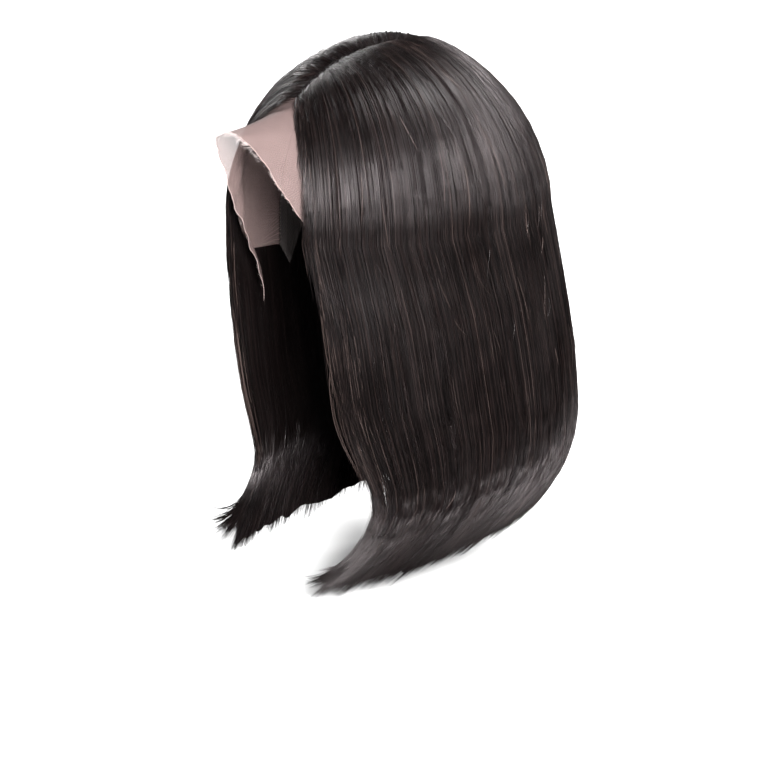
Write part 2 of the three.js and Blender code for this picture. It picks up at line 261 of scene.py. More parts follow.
class Tree:
    # A short way to write node trees
    def __init__(self, tree):
        self.tree = tree

    def add(self, kind, settings=None, **inputs):
        node = self.tree.nodes.new(kind)
        for key, value in (settings or {}).items():
            setattr(node, key, value)
        for key, value in inputs.items():
            self.put(node, key, value)
        return node

    def put(self, node, key, value):
        socket = node.inputs[int(key[1:]) if key[0] == "i" and key[1:].isdigit() else key.replace("_", " ")]
        if isinstance(value, bpy.types.NodeSocket):
            self.tree.links.new(value, socket)
        else:
            socket.default_value = value

    def math(self, operation, a, b=0.0, c=0.0):
        return self.add("ShaderNodeMath", {"operation": operation}, i0=a, i1=b, i2=c).outputs[0]

    def vector(self, operation, a, b=(0, 0, 0)):
        return self.add("ShaderNodeVectorMath", {"operation": operation}, i0=a, i1=b).outputs[0]

    def scale(self, vector, factor):
        node = self.add("ShaderNodeVectorMath", {"operation": "SCALE"}, i0=vector)
        self.put(node, "Scale", factor)
        return node.outputs[0]

    def blend(self, factor, a, b):
        # Mix two numbers
        node = self.add("ShaderNodeMix", {"data_type": "FLOAT"})
        for k, value in ((0, factor), (2, a), (3, b)):
            self.put(node, f"i{k}", value)
        return node.outputs[0]

    def tint(self, factor, a, b, kind="MIX"):
        # Mix two colours
        node = self.add("ShaderNodeMix", {"data_type": "RGBA", "blend_type": kind})
        for k, value in ((0, factor), (6, a), (7, b)):
            self.put(node, f"i{k}", value)
        return node.outputs[2]

    def ramp(self, factor, stops):
        node = self.add("ShaderNodeValToRGB", i0=factor)
        while len(node.color_ramp.elements) < len(stops):
            node.color_ramp.elements.new(0.5)
        for element, (place, value) in zip(node.color_ramp.elements, stops):
            element.position = place
            element.color = (*value, 1) if hasattr(value, "__len__") else (value, value, value, 1)
        return node.outputs[0]


def newMaterial(name, **constants):
    material = bpy.data.materials.new(name)
    material.use_nodes = True
    tree = Tree(material.node_tree)
    shader = material.node_tree.nodes["Principled BSDF"]
    for key, value in constants.items():
        shader.inputs[key.replace("_", " ")].default_value = value
    return material, tree, shader


def softNoise(seed, share, way, across, along):
    # Smooth random values between -1 and 1, stretched along the hair
    values = np.random.default_rng(seed).uniform(-1, 1, (across + 2, along + 2))
    s, w = np.clip(share, 0, 1) * across, np.clip(way, 0, 1) * along
    i, j = s.astype(int), w.astype(int)
    a, b = s - i, w - j
    a, b = a * a * (3 - 2 * a), b * b * (3 - 2 * b)
    return mix(mix(values[i, j], values[i + 1, j], a), mix(values[i, j + 1], values[i + 1, j + 1], a), b)


def relief(hand, share, way):
    # Locks that stand out of the smooth form, in millimetres; the right side lies flatter beside the part
    broad = softNoise(20 + hand, share, way, 15, 2) * 0.55
    lockRows = softNoise(25 + hand, share, way, 48, 3) * 0.34
    fine = softNoise(30 + hand, share, way, 130, 4) * 0.16
    beside = ease(way, 0.02, 0.1) * (1 - ease(way, 0.22, 0.38))
    flat = beside * (0.3 + 0.7 * ease(share, 0.05, 0.35)) * (1 - ease(share, 0.7, 0.95)) * (hand < 0)
    return (broad + lockRows + fine) * ease(way, 0.0, 0.22) * (0.7 + 0.6 * ease(way, 0.6, 1.0)) - 4.5 * flat


# Hair finishes
def hairFinish(name, streaks, shine):
    material, tree, shader = newMaterial(name, Roughness=0.4, Anisotropic=0.78, **shine)
    uv = tree.add("ShaderNodeUVMap", {"uv_map": "UVMap"}).outputs[0]

    def streak(across, along, detail):
        place = tree.vector("MULTIPLY", uv, (across, along, 1))
        return tree.add("ShaderNodeTexNoise", Vector=place, Scale=1.0, Detail=detail, Roughness=0.62).outputs[0]

    strandStreak = streak(streaks["fine"], streaks["along"], 4.0)
    lockStreak = streak(streaks["lock"], streaks["along"] * 0.3, 2.0)
    both = tree.math("ADD", tree.math("MULTIPLY", strandStreak, 0.7), tree.math("MULTIPLY", lockStreak, 0.3))
    tree.put(shader, "Base Color", tree.ramp(both, streaks["colours"]))
    tree.put(shader, "Roughness", tree.blend(lockStreak, streaks["roughness"][0], streaks["roughness"][1]))
    waver = streak(streaks["fine"] * 0.4, streaks["along"] * 7, 1.0)
    bumpHeight = tree.math("ADD", strandStreak, tree.math("MULTIPLY", waver, 0.35))
    bump = tree.add("ShaderNodeBump", Strength=streaks["bump"], Distance=0.0012, Height=bumpHeight)
    tree.put(shader, "Normal", bump.outputs[0])
    tangent = tree.add("ShaderNodeTangent", {"direction_type": "UV_MAP", "uv_map": "UVMap"})
    tree.put(shader, "Tangent", tangent.outputs[0])
    return material


massFinish = hairFinish(
    "hair_mass",
    {
        "fine": 2400,
        "lock": 260,
        "along": 9,
        "bump": 1.0,
        "roughness": (0.3, 0.44),
        "colours": [(0.36, (0.0006, 0.0004, 0.0004)), (0.5, (0.002, 0.0012, 0.0012)), (0.66, (0.008, 0.005, 0.0046))],
    },
    {"Specular_IOR_Level": 0.14, "Specular_Tint": (1, 0.9, 0.91, 1)},
)

strandFinish, tree, shader = newMaterial(
    "hair_strand", Roughness=0.36, Specular_IOR_Level=0.34, Specular_Tint=(1, 0.9, 0.91, 1)
)
tone = tree.add("ShaderNodeAttribute", {"attribute_name": "tone"}).outputs["Fac"]
place = tree.add("ShaderNodeTexCoord").outputs["Object"]
grain = tree.add("ShaderNodeTexNoise", Vector=place, Scale=60.0, Detail=1.0).outputs[0]
tone = tree.math("ADD", tone, tree.math("MULTIPLY", tree.math("SUBTRACT", grain, 0.5), 0.3))
# Strand tones from darkest to lightest; the lightest serve mostly the crossing hairs, where they are partly a painted
# highlight
strandTones = [
    (0.0, (0.0008, 0.0005, 0.0005)), (0.3, (0.0025, 0.0015, 0.0014)),
    (0.6, (0.009, 0.0056, 0.0052)), (1.0, (0.05, 0.035, 0.031)),
]
tree.put(shader, "Base Color", tree.ramp(tone, strandTones))
longPlace = tree.vector("MULTIPLY", place, (26.0, 26.0, 11.0))
patches = tree.add("ShaderNodeTexNoise", Vector=longPlace, Scale=1.0, Detail=1.0).outputs[0]
tree.put(shader, "Roughness", tree.blend(patches, 0.24, 0.46))


# Hair mass: one smooth hollow wall a side, under the strands
mass = {
    "shares": 100,
    "ways": 90,
    "crown": 12,
    "fall": 9,
    "edge": 3.2,
    "edgeBand": 0.12,
    "tip": 1.6,
    "under": 0.9,  # how far the wall lies under the hair's smooth form
    "shortBy": 6,  # millimetres between its lower edge and the ends of the strands
    "least": 0.6,
    "edgeAt": 0.012,  # share of the side at which the wall begins, behind the loose front hairs
    "looseFront": 0.055,  # how much further behind it begins low down
}


def massThickness(share, way):
    inside = ease(share, 0, mass["edgeBand"])
    wall = mix(mix(mass["edge"] + 1, mass["crown"], inside), mix(mass["edge"], mass["fall"], inside), ease(way, 0.16, 0.5))
    return mix(wall, mass["tip"], ease(way, 0.6, 1.0))


def cappedInward(points, inward, thickness):
    # The wall's thickness, or as deep as the cap allows
    offset = np.full(points.shape[:-1], cap["wall"] + hair["seatClearance"])
    least, most = np.zeros(thickness.shape), thickness.copy()
    free = outsideCap(points + inward * most[..., None], offset)
    for _ in range(20):
        middle = (least + most) / 2
        clear = outsideCap(points + inward * middle[..., None], offset)
        least, most = np.where(clear, middle, least), np.where(clear, most, middle)
    return np.where(free, thickness, np.maximum(least, mass["least"]))


def hairMass(name, flow):
    hand = flow.side["hand"]
    share, way = np.meshgrid(np.linspace(0, 1, mass["shares"]), np.linspace(0, 1, mass["ways"]), indexing="ij")
    loose = mass["looseFront"] * ease(way, 0.42, 0.64) * (1 - ease(way, 0.78, 0.92)) * (1 if hand > 0 else 0.4)
    begin = mass["edgeAt"] + loose
    share = begin + (1 - begin) * share
    trim = mass["shortBy"] + 2.5 * softNoise(40 + hand, share, way * 0, 60, 1)
    way = way * (1 - trim / 400)
    base, inward, out = (flow.at(array, share, way) for array in (flow.points, flow.inward, flow.out))
    raised = relief(hand, share, way) - mass["under"]
    raised = np.where(way < 0.05, np.maximum(raised, -1.2), raised)
    outer = base + out * raised[..., None]
    depth = cappedInward(outer, unit(inward), massThickness(share, way))
    inner = outer + unit(inward) * depth[..., None]
    vertices = np.concatenate([outer.reshape(-1, 3), inner.reshape(-1, 3)]) / 1000
    faces = facingOut(vertices, shellFaces(*share.shape))
    uv = np.stack([share * 0.29 * hand, way * 0.42], -1).reshape(-1, 2)
    piece = meshPiece(name, vertices, faces, massFinish, np.concatenate([uv, uv + [0.6, 0]]))
    piece.data.set_sharp_from_angle(angle=math.radians(50))
    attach(piece, "root")
    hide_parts(*(f"hair_{name.split('_')[0]}_{section}" for section in sections))
    return piece


for sideName, flow in flows.items():
    hairMass(f"{sideName}_hair_mass", flow)
print("hair mass made")


# Strands: guide lines carry their numbers as attributes, and one node tree makes the strands from them
def strandTree():
    group = bpy.data.node_groups.new("strands", "GeometryNodeTree")
    inputs = {"Guides": "Geometry", "Thickness": "Float", "Corners": "Int", "Seed": "Int", "Finish": "Material"}
    for label, kind in inputs.items():
        group.interface.new_socket(label, in_out="INPUT", socket_type=f"NodeSocket{kind}")
    group.interface.new_socket("Strands", in_out="OUTPUT", socket_type="NodeSocketGeometry")
    t = Tree(group)
    given = t.add("NodeGroupInput").outputs

    def named(label, kind="FLOAT"):
        return t.add("GeometryNodeInputNamedAttribute", {"data_type": kind}, Name=label).outputs[0]

    curves = t.add("GeometryNodeMeshToCurve", Mesh=given["Guides"]).outputs[0]
    copies = t.add("GeometryNodeDuplicateElements", {"domain": "SPLINE"}, Geometry=curves, Amount=named("count")).outputs[0]
    index = t.add("GeometryNodeCurveOfPoint").outputs[0]

    def chance(extra, low=(0, 0, 0), high=(1, 1, 1)):
        seed = t.math("ADD", given["Seed"], extra)
        node = t.add("FunctionNodeRandomValue", {"data_type": "FLOAT_VECTOR"}, i0=low, i1=high, ID=index, Seed=seed)
        return t.add("ShaderNodeSeparateXYZ", i0=node.outputs[0]).outputs

    way = named("way")
    spreadBy, liftBy, _ = chance(1, (-1, -1, -1))
    gather = t.math("SUBTRACT", 1.0, t.math("MULTIPLY", named("clump"), t.math("POWER", way, 1.5)))
    sideways = t.math("MULTIPLY", t.math("MULTIPLY", spreadBy, named("spread")), gather)
    upwards = t.math("MULTIPLY", t.math("MULTIPLY", liftBy, named("lift")), gather)
    aside = t.scale(named("across", "FLOAT_VECTOR"), sideways)
    moved = t.vector("ADD", aside, t.scale(named("out", "FLOAT_VECTOR"), upwards))
    own = chance(2, (-50, -50, -50), (50, 50, 50))
    ownPlace = t.add("ShaderNodeCombineXYZ", i0=own[0], i1=own[1], i2=own[2]).outputs[0]
    place = t.vector("ADD", t.scale(t.add("GeometryNodeInputPosition").outputs[0], 22.0), t.scale(ownPlace, 0.06))
    waver = t.add("ShaderNodeTexNoise", Vector=place, Scale=1.0, Detail=1.0).outputs["Color"]
    waveSize = t.math("MULTIPLY", named("wave"), t.math("ADD", t.math("MULTIPLY", way, 0.6), 0.5))
    waver = t.scale(t.vector("SUBTRACT", waver, (0.5, 0.5, 0.5)), waveSize)
    waved = t.add("GeometryNodeSetPosition", Geometry=copies, Offset=t.vector("ADD", moved, waver)).outputs[0]
    startBy, endBy, _ = chance(3)
    start = t.math("MULTIPLY", startBy, named("cutStart"))
    endCut = t.math("MULTIPLY", t.math("MULTIPLY", endBy, named("cutEnd")), t.math("SUBTRACT", 1.0, start))
    end = t.math("SUBTRACT", 1.0, endCut)
    toneBy, _, thickBy = chance(4)
    toned = t.add("GeometryNodeStoreNamedAttribute", {"data_type": "FLOAT", "domain": "POINT"}, Geometry=waved, Name="tone")
    t.put(toned, "Value", t.math("MULTIPLY", t.math("POWER", toneBy, 2.2), named("bright")))
    cut = t.add("GeometryNodeTrimCurve", {"mode": "FACTOR"}, Curve=toned.outputs[0], i2=start, i3=end).outputs[0]
    factor = t.add("GeometryNodeSplineParameter").outputs[0]
    taper = t.math("MINIMUM", t.math("MULTIPLY", factor, 12.0), t.math("MULTIPLY", t.math("SUBTRACT", 1.0, factor), 3.5))
    taper = t.math("ADD", t.math("MINIMUM", taper, 1.0), 0.12)
    wide = t.math("MULTIPLY", given["Thickness"], taper)
    wide = t.math("MULTIPLY", wide, t.math("ADD", 0.7, t.math("MULTIPLY", thickBy, 0.6)))
    wide = t.math("MULTIPLY", wide, named("size"))
    sized = t.add("GeometryNodeSetCurveRadius", Curve=cut, Radius=wide).outputs[0]
    ring = t.add("GeometryNodeCurvePrimitiveCircle", {"mode": "RADIUS"}, Resolution=given["Corners"], Radius=1.0).outputs[0]
    tube = t.add("GeometryNodeCurveToMesh", Curve=sized, Profile_Curve=ring, Fill_Caps=True)
    if "Scale" in tube.inputs:
        t.put(tube, "Scale", t.add("GeometryNodeInputRadius").outputs[0])
    soft = t.add("GeometryNodeSetShadeSmooth", Geometry=tube.outputs[0]).outputs[0]
    real = t.add("GeometryNodeRealizeInstances", Geometry=soft).outputs[0]
    done = t.add("GeometryNodeSetMaterial", Geometry=real, Material=given["Finish"]).outputs[0]
    t.add("NodeGroupOutput", i0=done)
    return group


strands = strandTree()


class Guides:
    # Collects guide lines and the numbers that the tree reads from them
    numbers = ("count", "spread", "lift", "clump", "wave", "cutStart", "cutEnd", "bright", "size")

    def __init__(self):
        self.lines = []

    def put(self, points, across, out, **given):
        use = {
            "count": 1, "spread": 0, "lift": 0, "clump": 0, "wave": 0.001,
            "cutStart": 0, "cutEnd": 0, "bright": 0.8, "size": 1,
        }
        use.update(given)
        for k in range(len(points)):
            numbers = {key: np.broadcast_to(value, len(points))[k] for key, value in use.items()}
            self.lines.append((points[k], across[k], out[k], numbers))

    def make(self, name, thickness, seed, finish):
        points = np.concatenate([line[0] for line in self.lines]) / 1000
        counts = [len(line[0]) for line in self.lines]
        starts = np.concatenate([[0], np.cumsum(counts)[:-1]])
        edges = np.concatenate([np.stack([np.arange(n - 1), np.arange(1, n)], 1) + s for n, s in zip(counts, starts)])
        mesh = bpy.data.meshes.new(name)
        mesh.vertices.add(len(points))
        mesh.vertices.foreach_set("co", points.astype(np.float32).ravel())
        mesh.edges.add(len(edges))
        mesh.edges.foreach_set("vertices", edges.astype(np.int32).ravel())
        for label, which in (("across", 1), ("out", 2)):
            layer = mesh.attributes.new(label, "FLOAT_VECTOR", "POINT")
            vectors = np.concatenate([line[which] for line in self.lines])
            layer.data.foreach_set("vector", vectors.astype(np.float32).ravel())
        for label in self.numbers:
            values = np.concatenate([np.full(n, line[3][label]) for n, line in zip(counts, self.lines)])
            mesh.attributes.new(label, "FLOAT", "POINT").data.foreach_set("value", values.astype(np.float32))
        way = np.concatenate([np.linspace(0, 1, n) for n in counts])
        mesh.attributes.new("way", "FLOAT", "POINT").data.foreach_set("value", way.astype(np.float32))
        guide = bpy.data.objects.new(name + "_guides", mesh)
        bpy.context.scene.collection.objects.link(guide)
        modifier = guide.modifiers.new("strands", "NODES")
        modifier.node_group = strands
        values = {"Thickness": thickness / 1000, "Corners": 3, "Seed": seed, "Finish": finish}
        for item in strands.interface.items_tree:
            if item.item_type == "SOCKET" and item.in_out == "INPUT" and item.name in values:
                modifier[item.identifier] = values[item.name]
        evaluated = guide.evaluated_get(bpy.context.evaluated_depsgraph_get())
        made = bpy.data.meshes.new_from_object(evaluated)
        bpy.data.objects.remove(guide)
        made.name = name
        piece = bpy.data.objects.new(name, made)
        bpy.context.scene.collection.objects.link(piece)
        for label in [a.name for a in made.attributes if a.name in (*self.numbers, "across", "out", "way", "radius")]:
            made.attributes.remove(made.attributes[label])
        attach(piece, "root")
        corners = sum(len(p.vertices) - 2 for p in made.polygons)
        print(name, len(self.lines), "guides", corners, "triangles")
        return piece


locks = {
    "left": {"thickness": 0.15, "cover": 80, "coverCopies": 11, "long": 9, "longCopies": 8, "ends": 50, "endCopies": 7},
    "right": {"thickness": 0.2, "cover": 46, "coverCopies": 9, "long": 6, "longCopies": 8, "ends": 36, "endCopies": 6},
    "inner": 13,
    "innerCopies": 6,
    "strays": 60,
    "flyaways": 8,
    "hemSpread": 4,  # millimetres between the shortest and the longest strands at the hem
    "hemSweep": 0.5,  # how strongly the ends run forward along the form
}


def swept(share, way):
    # Near the hem the hair runs forward along the form
    return share - locks["hemSweep"] * ease(way, 0.7, 1.02) * share * (1 - share)


def hairLines(flow, share, way, height, forward=0.0):
    # Lines on one side's form: share and way are rows of points, height in millimetres above the form
    hand = flow.side["hand"]
    inside = np.minimum(way, 1)
    share = swept(share, way)
    points, across, out = (flow.at(array, share, inside) for array in (flow.points, flow.across, flow.out))
    end, before = flow.at(flow.points, share, np.ones_like(way)), flow.at(flow.points, share, np.full_like(way, 0.985))
    points = points + unit(end - before) * (np.maximum(way - 1, 0) * 400)[..., None]
    raised = relief(hand, share, way) + height
    return points + out * raised[..., None] - across * np.asarray(forward)[..., None], across, out


def spaced(rng, low, high, count):
    # Shares spread evenly with some scatter
    return low + (high - low) * (np.arange(count) + rng.uniform(0.1, 0.9, count)) / count


fullWay = np.concatenate([np.linspace(0, 0.4, 12), np.linspace(0.4, 0.76, 6)[1:], np.linspace(0.76, 1, 8)[1:]])


def sectionStrands(sideName, sectionName, number):
    flow = flows[sideName]
    hand = flow.side["hand"]
    use = locks[sideName]
    low, high = sections[sectionName]
    rng = np.random.default_rng(100 + number)
    width = (high - low) / 0.2
    guides = Guides()

    def drift(share, way, size):
        # A slight lean of each lock and a slower waver
        lean = rng.normal(0, size, (len(share), 1)) * (way - 0.4)
        within = (share[:, None] - low) / (high - low) + 0 * way
        return share[:, None] + lean + 0.6 * size * softNoise(60 + number, within, way, 14, 3)

    def ends(share):
        return 1 + (locks["hemSpread"] / 400) * softNoise(50 + hand, share, share * 0, 46, 1)

    # Strands over the whole form, in pieces of different length
    count = int(use["cover"] * width)
    share = spaced(rng, low, high, count)
    way = fullWay[None] * ends(share)[:, None]
    height = rng.uniform(-0.3, 0.8, (count, 1)) + 0 * way
    lines = hairLines(flow, drift(share, way, 0.004), way, height)
    guides.put(
        *lines, count=use["coverCopies"], spread=0.0022, lift=0.0004, clump=0.1, wave=0.0013,
        cutStart=0.8, cutEnd=0.7, bright=0.62,
    )

    # Whole strands, root to end
    count = int(use["long"] * width)
    share = spaced(rng, low, high, count)
    way = fullWay[None] * (ends(share) + rng.uniform(-0.01, 0.012, count))[:, None]
    lines = hairLines(flow, drift(share, way, 0.008), way, rng.uniform(0.3, 1.0, (count, 1)) + 0 * way)
    guides.put(
        *lines, count=use["longCopies"], spread=0.0032, lift=0.0005, clump=0.15, wave=0.0012,
        cutEnd=0.04, bright=0.8,
    )

    # Ends below the wall, through its whole thickness
    count = int(use["ends"] * width)
    share = spaced(rng, low, high, count)
    way = np.linspace(0.86, 1, 8)[None] * (ends(share) + rng.uniform(-0.002, 0.008, count))[:, None]
    height = -rng.uniform(0, 3.2, (count, 1)) + 0 * way
    lines = hairLines(flow, drift(share, way, 0.01), way, height)
    guides.put(*lines, count=use["endCopies"], spread=0.0028, lift=0.0012, clump=0.0, wave=0.0015, cutEnd=0.09, bright=0.55)

    # The inside of the wall
    count = int(locks["inner"] * width)
    share = spaced(rng, low, high, count)
    way = np.linspace(0.5, 1, 12)[None] * ends(share)[:, None]
    depth = massThickness(share[:, None] + 0 * way, np.minimum(way, 1)) + 0.4
    lines = hairLines(flow, drift(share, way, 0.006), way, 0 * way)
    inward = unit(flow.at(flow.inward, share[:, None] + 0 * way, np.minimum(way, 1)))
    guides.put(
        lines[0] + inward * depth[..., None], lines[1], lines[2], count=locks["innerCopies"],
        spread=0.003, lift=0.0004, clump=0.1, wave=0.002, cutStart=0.6, cutEnd=0.3, bright=0.4, size=1.3,
    )

    # Short hairs that cross the others, and single hairs that stand off the form
    count = int(locks["strays"] * width)
    share = spaced(rng, low, high, count)
    t = np.linspace(0, 1, 7)[None]
    way = rng.uniform(0.12, 0.9, (count, 1)) + t * rng.uniform(0.03, 0.11, (count, 1))
    aside = rng.normal(0, 0.016, (count, 1)) * t ** rng.uniform(0.8, 2, (count, 1))
    height = 0.7 + rng.uniform(0, 1.0, (count, 1)) * np.sin(math.pi * t)
    lines = hairLines(flow, share[:, None] + aside, np.minimum(way, 1.01), height)
    # The crossing hairs get lighter tones than the hairs under them: partly tone that differs at random, partly a
    # painted highlight for the light they catch
    guides.put(*lines, wave=0.0016, bright=rng.uniform(0.9, 1.5, count), size=0.85)
    count = int(locks["flyaways"] * width)
    share = spaced(rng, low, high, count)
    t = np.linspace(0, 1, 11)[None]
    way = rng.uniform(0.05, 0.75, (count, 1)) + t * rng.uniform(0.08, 0.26, (count, 1))
    height = rng.uniform(0.8, 3.5, (count, 1)) * np.sin(math.pi * t * rng.uniform(0.5, 1, (count, 1))) + 0.2
    lines = hairLines(flow, drift(share, way, 0.02), np.minimum(way, 1.02), height)
    guides.put(*lines, wave=0.003, bright=0.9, size=0.7)

    rootHairs(flow, guides, rng, low, high)
    if sectionName == "front":
        frontWisps(flow, guides, rng)
        hemCurls(flow, guides, rng)
    return guides.make(f"{sideName}_{sectionName}_strands", use["thickness"], number, strandFinish)


roots = {"hairs": 70, "copies": 3, "rise": 1.4, "over": 1.8, "tufts": 9, "tuftRise": 6}


def rootHairs(flow, guides, rng, low, high):
    # Short hairs that start on or just over the part and close it
    count = int(roots["hairs"] * (high - low) / 0.2)
    share = rng.uniform(low, high, count)
    t = np.linspace(0, 1, 6)[None]
    way = t * rng.uniform(0.02, 0.1, (count, 1))
    height = -0.4 + roots["rise"] * rng.uniform(0.2, 1, (count, 1)) * np.sin(math.pi * t * 0.8)
    aside = rng.normal(0, 0.02, (count, 1)) * t
    lines = hairLines(flow, share[:, None] + aside, way, height)
    lines[0][..., 0] -= flow.side["hand"] * roots["over"] * rng.uniform(-0.4, 1, (count, 1)) * (1 - t) ** 2
    guides.put(*lines, count=roots["copies"], spread=0.0014, lift=0.0005, wave=0.0015, bright=0.7, size=0.9)
    # Small tufts that stand up at the end of the part
    count = roots["tufts"] if low > 0.7 else 0
    share = rng.uniform(0.78, 0.97, count)
    way = 0.004 + t * rng.uniform(0.01, 0.03, (count, 1))
    height = roots["tuftRise"] * rng.uniform(0.3, 1, (count, 1)) * t**0.8
    lines = hairLines(flow, share[:, None] + 0 * t, way, height)
    guides.put(*lines, count=5, spread=0.0012, lift=0.001, clump=0.3, wave=0.002, cutEnd=0.5, bright=0.5)


wisps = {"edge": 30, "edgeCopies": 6, "count": 80, "copies": 6, "looseTo": 0.068, "baby": 150}


def frontWisps(flow, guides, rng):
    # Loose hairs over the front edge, root to end
    hand = flow.side["hand"]
    count = wisps["edge"]
    share = rng.uniform(0, 0.02, count)
    way = fullWay[None] * rng.uniform(0.97, 1.01, (count, 1))
    height = rng.uniform(-0.6, 0.6, (count, 1)) + 0 * way
    ahead = rng.uniform(-1, 1.2, (count, 1)) + 0 * way
    lines = hairLines(flow, share[:, None] + 0 * way, way, height, ahead)
    guides.put(
        *lines, count=wisps["edgeCopies"], spread=0.0018, lift=0.0009, clump=0.1, wave=0.002,
        cutStart=0.3, cutEnd=0.5, bright=0.9, size=0.85,
    )
    # See-through strands between the edge and the wall, lower down
    count = wisps["count"]
    t = np.linspace(0, 1, 14)[None]
    way = rng.uniform(0.4, 0.66, count)[:, None] + t * rng.uniform(0.26, 0.36, (count, 1))
    share = rng.uniform(0.0, wisps["looseTo"], (count, 1)) + rng.normal(0, 0.012, (count, 1)) * t
    ahead = rng.uniform(-1, 7, (count, 1)) * np.sin(math.pi * (0.1 + 0.8 * t)) * (hand > 0)
    height = rng.uniform(-2.5, 0.3, (count, 1)) + 0 * way
    lines = hairLines(flow, np.maximum(share, 0.001), np.minimum(way, 1.01), height, ahead)
    guides.put(
        *lines, count=wisps["copies"], spread=0.0022, lift=0.0014, clump=0.1, wave=0.003,
        cutStart=0.2, cutEnd=0.3, bright=1.2, size=0.75,
    )
    # Fine short hairs along the hairline, over the lace
    count = wisps["baby"]
    t = np.linspace(0, 1, 7)[None]
    way = rng.uniform(0.0, 0.42, (count, 1)) + t * rng.uniform(0.03, 0.12, (count, 1))
    ahead = 8 * rng.uniform(0, 1, (count, 1)) ** 1.5 * (0.6 + 0.4 * t) + 0.3
    lines = hairLines(flow, 0.008 + 0 * way, way, 1.1 + 0 * way, ahead)
    guides.put(*lines, count=3, spread=0.002, lift=0.0005, wave=0.002, bright=0.8, size=1.05)


curls = {
    "left": {"tips": 40, "copies": 7, "share": 0.12, "start": 0.9, "ahead": 15, "up": 20, "out": 1, "turn": 2.2},
    "right": {"tips": 44, "copies": 7, "share": 0.16, "start": 0.87, "ahead": 11, "up": 36, "out": 11, "turn": 2.0},
    "tuft": {"tips": 16, "copies": 9, "low": 0.03, "high": 0.12, "inside": 9},
}


def hemCurls(flow, guides, rng):
    # Ends at the front of the hem that turn up and out
    side = "left" if flow.side["hand"] > 0 else "right"
    use = curls[side]
    count = use["tips"]
    t = np.linspace(0, 1, 12)[None]
    share = rng.uniform(0, use["share"], (count, 1)) ** 1.2 + 0 * t
    reach = rng.uniform(0.35, 1, (count, 1)) * (1 - share / use["share"] * 0.5)
    way = mix(use["start"], 1, t) + 0 * reach
    lines = hairLines(flow, share, way, rng.uniform(-3, 0.6, (count, 1)) * (1 - t))
    bend = t ** use["turn"] * reach
    lines[0][..., 1] -= use["ahead"] * bend
    lines[0][..., 2] += use["up"] * bend**1.5
    lines[0][..., 0] += flow.side["hand"] * use["out"] * bend
    guides.put(*lines, count=use["copies"], spread=0.004, lift=0.002, clump=0.0, wave=0.003, cutEnd=0.16, bright=0.6)
    if side == "left":
        # A dark tuft behind the front tip, on the inside
        use = curls["tuft"]
        count = use["tips"]
        share = rng.uniform(use["low"], use["high"], (count, 1)) + 0 * t
        way = mix(0.9, 0.99, t) + 0 * share
        lines = hairLines(flow, share, way, -2 - use["inside"] * t ** 1.5 + 0 * share)
        lines[0][..., 1] -= 8 * t**2
        lines[0][..., 2] += rng.uniform(4, 12, (count, 1)) * t**2.5
        guides.put(*lines, count=use["copies"], spread=0.002, lift=0.002, clump=0.2, wave=0.004, cutEnd=0.4, bright=0.3)


number = 0
for sideName in sides:
    for sectionName in sections:
        number += 1
        sectionStrands(sideName, sectionName, number)
print("strands made")


# Lace front: seated on the cap's form to the hair's front edge, then free to its cut edge
lace = {
    "seamTurn": 100,
    "seamAtTop": -0.12,
    "seamAtEnds": 0.24,
    "edgeSpread": 0.8,
    "tabReach": 0.5,
    "sag": 2,
    "thick": 0.35,  # millimetres
    "lift": 0.35,  # how far it lies off the cap's form
    "seatedRows": 12,
    "freeRows": 26,
    "columns": 140,
    "ripple": 1.0,
    "fray": 0.7,
    "flat": (0.36, 0.17),
}
# Cut edge from the left tab over the front to the right tab:
# shares of half the cap's width, half its depth and the crown's depth
laceEdge = np.array([
    (0.8, 0.56, 1.57), (0.64, 0.77, 1.28), (0.46, 0.89, 1.04), (0.31, 1.08, 0.72), (0.13, 1.2, 0.46), (-0.08, 1.25, 0.35),
    (-0.32, 1.24, 0.4), (-0.46, 1.12, 0.62), (-0.5, 0.99, 0.88), (-0.56, 0.87, 1.08), (-0.68, 0.7, 1.3), (-0.78, 0.56, 1.62),
])


def archWay(turn, reach):
    around = np.sqrt(1 - reach**2)
    axes = capAxes(np.zeros_like(turn), np.abs(turn) > 90)
    angle = np.radians(turn)
    return unit(np.stack([np.sin(angle) * around, -reach, np.cos(angle) * around], -1) * axes)


def seamWay(turn):
    return archWay(turn, mix(lace["seamAtTop"], lace["seamAtEnds"], ease(np.abs(turn), 0, lace["seamTurn"])))


def slide(a, b, share):
    angle = np.arccos(np.clip((a * b).sum(-1), -1, 1))[..., None]
    return unit(a * np.sin((1 - share[..., None]) * angle) + b * np.sin(share[..., None] * angle))


def leavingWay(turn):
    spread = np.abs(turn) / lace["seamTurn"]
    edges = {}
    for name, flow in flows.items():
        way = np.minimum(spread / lace["edgeSpread"], 1) * domeShare
        edges[name] = flow.at(flow.points, np.zeros_like(way), way) - capCentre
    edge = unit(np.where((turn < 0)[:, None], edges["right"], edges["left"]))
    tab = archWay(np.where(turn < 0, -1, 1) * float(lace["seamTurn"]), np.full_like(turn, lace["tabReach"]))
    return slide(edge, tab, ease(spread, lace["edgeSpread"] - 0.1, 1))


